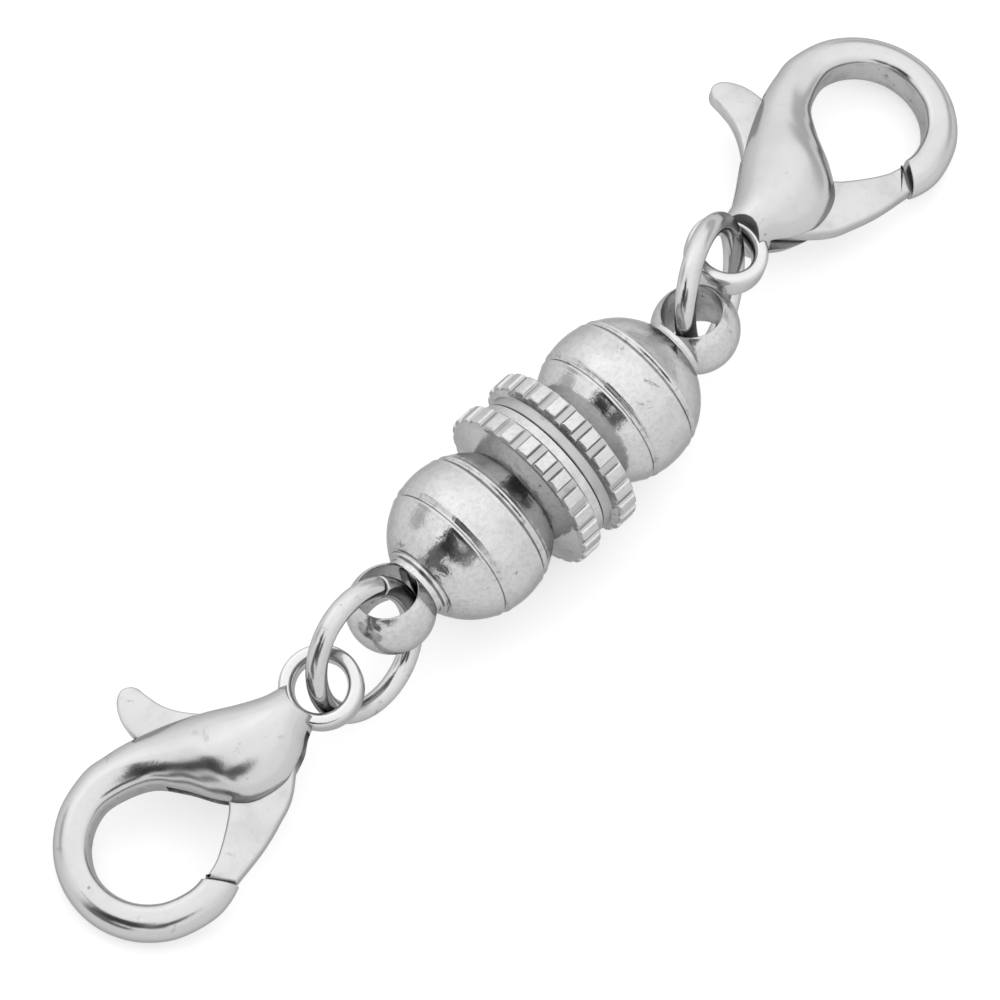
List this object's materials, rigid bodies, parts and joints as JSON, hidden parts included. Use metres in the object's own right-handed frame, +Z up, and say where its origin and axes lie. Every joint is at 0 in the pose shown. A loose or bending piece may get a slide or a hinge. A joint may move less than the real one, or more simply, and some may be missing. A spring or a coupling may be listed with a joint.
{
  "type": "magnetic clasp",
  "caption": "Magnetic jewellery clasp: two knurled barrel halves that meet by disc magnets, each with an eye ball, jump ring and trigger claw, lying flat.",
  "frame": {"origin": "middle of the footprint, on the floor the clasp lies on", "axes": "+X along the barrel from half A to half B, +Z up from the floor, +Y completes them, on the side of both thumb tabs"},
  "size_m": [0.0406, 0.009, 0.006],
  "materials": {
    "plating": "bright silver-coloured plating over cast and turned metal, lightly uneven",
    "magnet": "plated disc magnet, satin face"
  },
  "bodies": {
    "side_a": {"half_a": "plating", "magnet_a": "magnet", "jump_ring_a": "plating", "claw_body_a": "plating", "claw_rivet_a": "plating"},
    "side_b": {"half_b": "plating", "magnet_b": "magnet", "jump_ring_b": "plating", "claw_body_b": "plating", "claw_rivet_b": "plating"},
    "lever_a": {"claw_lever_a": "plating"},
    "lever_b": {"claw_lever_b": "plating"}
  },
  "joints": [
    {"name": "magnet_pull", "type": "slide", "parent": "side_a", "child": "side_b", "axis": [1, 0, 0], "range_m": [0, 0.01]},
    {"name": "gate_a", "type": "hinge", "parent": "side_a", "child": "lever_a", "pos_m": [-0.01234, -0.00168, 0.00239], "axis": [0.225, 0.0488, -0.9731], "range_deg": [0, 25], "stiffness_Nm_per_rad": 0.01, "springref_deg": -17.19},
    {"name": "gate_b", "type": "hinge", "parent": "side_b", "child": "lever_b", "pos_m": [0.01228, 0.00003, 0.0021], "axis": [0.1852, -0.0648, 0.9806], "range_deg": [0, 25], "stiffness_Nm_per_rad": 0.01, "springref_deg": -17.19}
  ]
}
